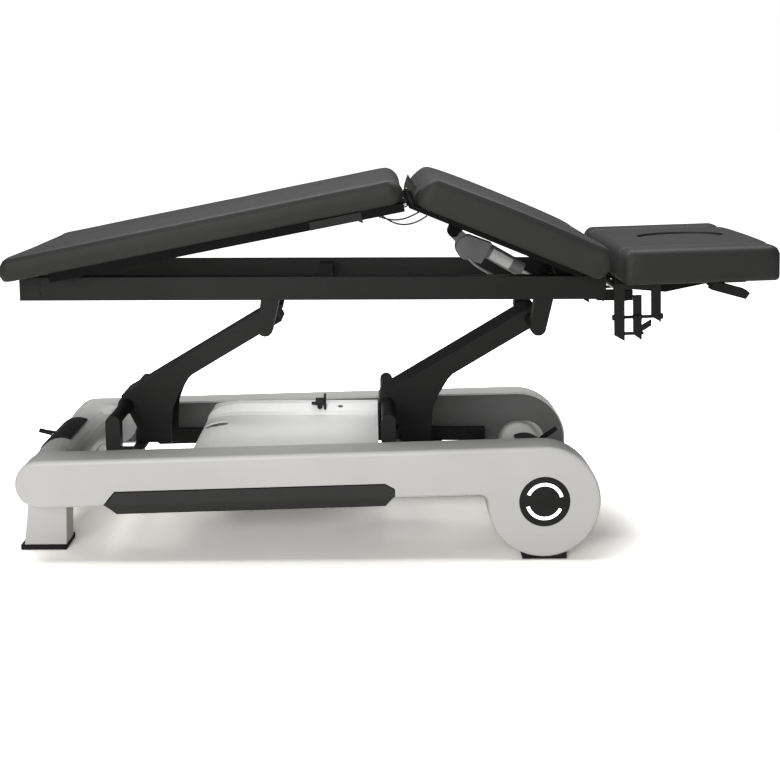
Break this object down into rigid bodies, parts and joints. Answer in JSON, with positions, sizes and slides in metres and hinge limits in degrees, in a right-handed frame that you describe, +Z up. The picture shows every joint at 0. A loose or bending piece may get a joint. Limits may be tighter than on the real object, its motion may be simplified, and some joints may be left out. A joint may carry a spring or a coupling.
{
  "type": "electric massage table",
  "caption": "Electric massage table: padded leg, middle and head sections on a parallel-arm lift over a moulded two-beam base with foot bars, pedals and hanging armrest carriers.",
  "frame": {"origin": "on the floor under the middle of the whole length and width, in the pose of the picture", "axes": "+X towards the head end, +Y towards the far side, +Z up"},
  "size_m": [2.035, 0.652, 1.011],
  "materials": {
    "shell": "light grey satin paint on moulded covers",
    "panel": "dark grey, matte",
    "hub": "black, satin",
    "light": "white light guide",
    "rubber": "black, matte",
    "steel": "dark grey powder coat",
    "board": "black painted plywood",
    "vinyl": "dark grey upholstery vinyl with a fine grain",
    "zinc": "bare steel",
    "drive": "mid grey housing",
    "grip": "black, soft",
    "lead": "black flexible lead"
  },
  "bodies": {
    "base": {"near_side_cover": "shell", "far_side_cover": "shell", "near_inner_panel": "panel", "far_inner_panel": "panel", "near_hub_cap": "hub", "far_hub_cap": "hub", "near_light_ring": "light", "far_light_ring": "light", "foot_crossbar": "shell", "head_crossbar": "shell", "foot_pedal_cover": "hub", "head_pedal_cover": "hub", "near_foot_post": "shell", "far_foot_post": "shell", "near_foot_pad": "rubber", "far_foot_pad": "rubber", "near_disc_pad": "rubber", "far_disc_pad": "rubber", "chassis": "steel", "foot_pivot_stand": "steel", "head_pivot_stand": "steel", "centre_cover": "shell", "key_switch": "hub", "control_box": "panel"},
    "near_foot_bar": {"near_foot_bar": "hub"},
    "far_foot_bar": {"far_foot_bar": "hub"},
    "foot_pedal": {"foot_pedal": "rubber"},
    "head_pedal": {"head_pedal": "rubber"},
    "foot_arm": {"foot_lift_arm": "steel"},
    "head_arm": {"head_lift_arm": "steel"},
    "bed": {"bed_frame": "steel", "foot_upper_bracket": "steel", "head_upper_bracket": "steel", "head_hinge_shaft": "zinc"},
    "lift_motor": {"lift_drive_motor": "drive"},
    "lift_rod": {"lift_drive_rod": "zinc"},
    "middle_section": {"middle_board": "board", "middle_cushion": "vinyl", "motor_lead": "lead"},
    "leg_section": {"leg_board": "board", "leg_cushion": "vinyl", "apex_pin": "zinc", "leg_side_plate": "steel", "apex_flap": "vinyl", "apex_lead_upper": "lead", "apex_lead_lower": "lead"},
    "back_motor": {"back_drive_motor": "drive"},
    "back_rod": {"back_drive_rod": "zinc"},
    "head_section": {"head_board": "board", "head_cushion": "vinyl", "face_plug": "vinyl", "near_arm_hanger": "steel", "far_arm_hanger": "steel"},
    "release_lever": {"head_release_lever": "grip"},
    "near_link": {"near_arm_link": "steel"},
    "far_link": {"far_arm_link": "steel"},
    "key": {"key": "hub"}
  },
  "joints": [
    {"name": "lift", "type": "hinge", "parent": "base", "child": "foot_arm", "pos_m": [-0.73868, 0, 0.352], "axis": [0, 1, 0], "range_deg": [-22, 26]},
    {"name": "head_arm_swing", "type": "hinge", "parent": "base", "child": "head_arm", "pos_m": [-0.00668, 0, 0.352], "axis": [0, 1, 0], "range_deg": [-22, 26]},
    {"name": "bed_level", "type": "hinge", "parent": "foot_arm", "child": "bed", "pos_m": [-0.33608, 0, 0.5945], "axis": [0, 1, 0], "range_deg": [-26, 22]},
    {"name": "lift_motor_tilt", "type": "hinge", "parent": "base", "child": "lift_motor", "pos_m": [-0.44368, 0, 0.209], "axis": [0, 1, 0], "range_deg": [-1.4, 1.6]},
    {"name": "lift_rod_slide", "type": "slide", "parent": "lift_motor", "child": "lift_rod", "axis": [0.9988, 0, -0.0481], "range_m": [-0.074, 0.063]},
    {"name": "back", "type": "hinge", "parent": "bed", "child": "middle_section", "pos_m": [0.48232, 0, 0.715], "axis": [0, 1, 0], "range_deg": [-22.2, 0]},
    {"name": "apex_fold", "type": "hinge", "parent": "middle_section", "child": "leg_section", "pos_m": [0.03839, 0, 0.92403], "axis": [0, 1, 0], "range_deg": [0, 34], "deforming": ["apex_flap", "apex_lead_upper", "apex_lead_lower"]},
    {"name": "back_motor_tilt", "type": "hinge", "parent": "middle_section", "child": "back_motor", "pos_m": [0.17843, 0, 0.83578], "axis": [0, 1, 0], "range_deg": [-3, 0], "deforming": ["motor_lead"]},
    {"name": "back_rod_slide", "type": "slide", "parent": "back_motor", "child": "back_rod", "axis": [0.8705, 0, -0.4921], "range_m": [-0.016, 0]},
    {"name": "head_tilt", "type": "hinge", "parent": "bed", "child": "head_section", "pos_m": [0.63632, 0, 0.68], "axis": [0, 1, 0], "range_deg": [-1.8, 40]},
    {"name": "release_lever_swing", "type": "hinge", "parent": "head_section", "child": "release_lever", "pos_m": [0.84718, 0, 0.71964], "axis": [0, 1, 0], "range_deg": [-12, 0], "stiffness_Nm_per_rad": 1.5, "springref_deg": 5.73},
    {"name": "near_link_swing", "type": "hinge", "parent": "head_section", "child": "near_link", "pos_m": [0.64876, -0.2443, 0.63437], "axis": [0.9995, 0, 0.0314], "range_deg": [-60, 0]},
    {"name": "far_link_swing", "type": "hinge", "parent": "head_section", "child": "far_link", "pos_m": [0.64876, 0.2443, 0.63437], "axis": [0.9995, 0, 0.0314], "range_deg": [0, 60]},
    {"name": "near_foot_bar_rock", "type": "hinge", "parent": "base", "child": "near_foot_bar", "pos_m": [-0.37012, -0.308, 0.17414], "axis": [0.9997, 0, 0.0245], "range_deg": [-2, 2], "stiffness_Nm_per_rad": 30},
    {"name": "far_foot_bar_rock", "type": "hinge", "parent": "base", "child": "far_foot_bar", "pos_m": [-0.37012, 0.308, 0.17414], "axis": [0.9997, 0, 0.0245], "range_deg": [-2, 2], "stiffness_Nm_per_rad": 30},
    {"name": "foot_pedal_swing", "type": "hinge", "parent": "base", "child": "foot_pedal", "pos_m": [-0.91518, 0, 0.2108], "axis": [0, 1, 0], "range_deg": [-8, 8], "stiffness_Nm_per_rad": 5},
    {"name": "head_pedal_swing", "type": "hinge", "parent": "base", "child": "head_pedal", "pos_m": [0.40003, 0, 0.15701], "axis": [0, 1, 0], "range_deg": [-8, 8], "stiffness_Nm_per_rad": 5},
    {"name": "key_turn", "type": "hinge", "parent": "base", "child": "key", "pos_m": [-0.19368, 0.054, 0.3295], "axis": [1, 0, 0], "range_deg": [-60, 0]}
  ],
  "couplings": [
    {"joint": "head_arm_swing", "follows": "lift", "ratio": 1},
    {"joint": "bed_level", "follows": "lift", "ratio": -1},
    {"joint": "lift_motor_tilt", "follows": "lift", "ratio": 0.06},
    {"joint": "lift_rod_slide", "follows": "lift", "m_per_rad": -0.161},
    {"joint": "apex_fold", "follows": "back", "ratio": -1.509},
    {"joint": "back_motor_tilt", "follows": "back", "ratio": 0.127},
    {"joint": "back_rod_slide", "follows": "back", "m_per_rad": 0.0372}
  ]
}
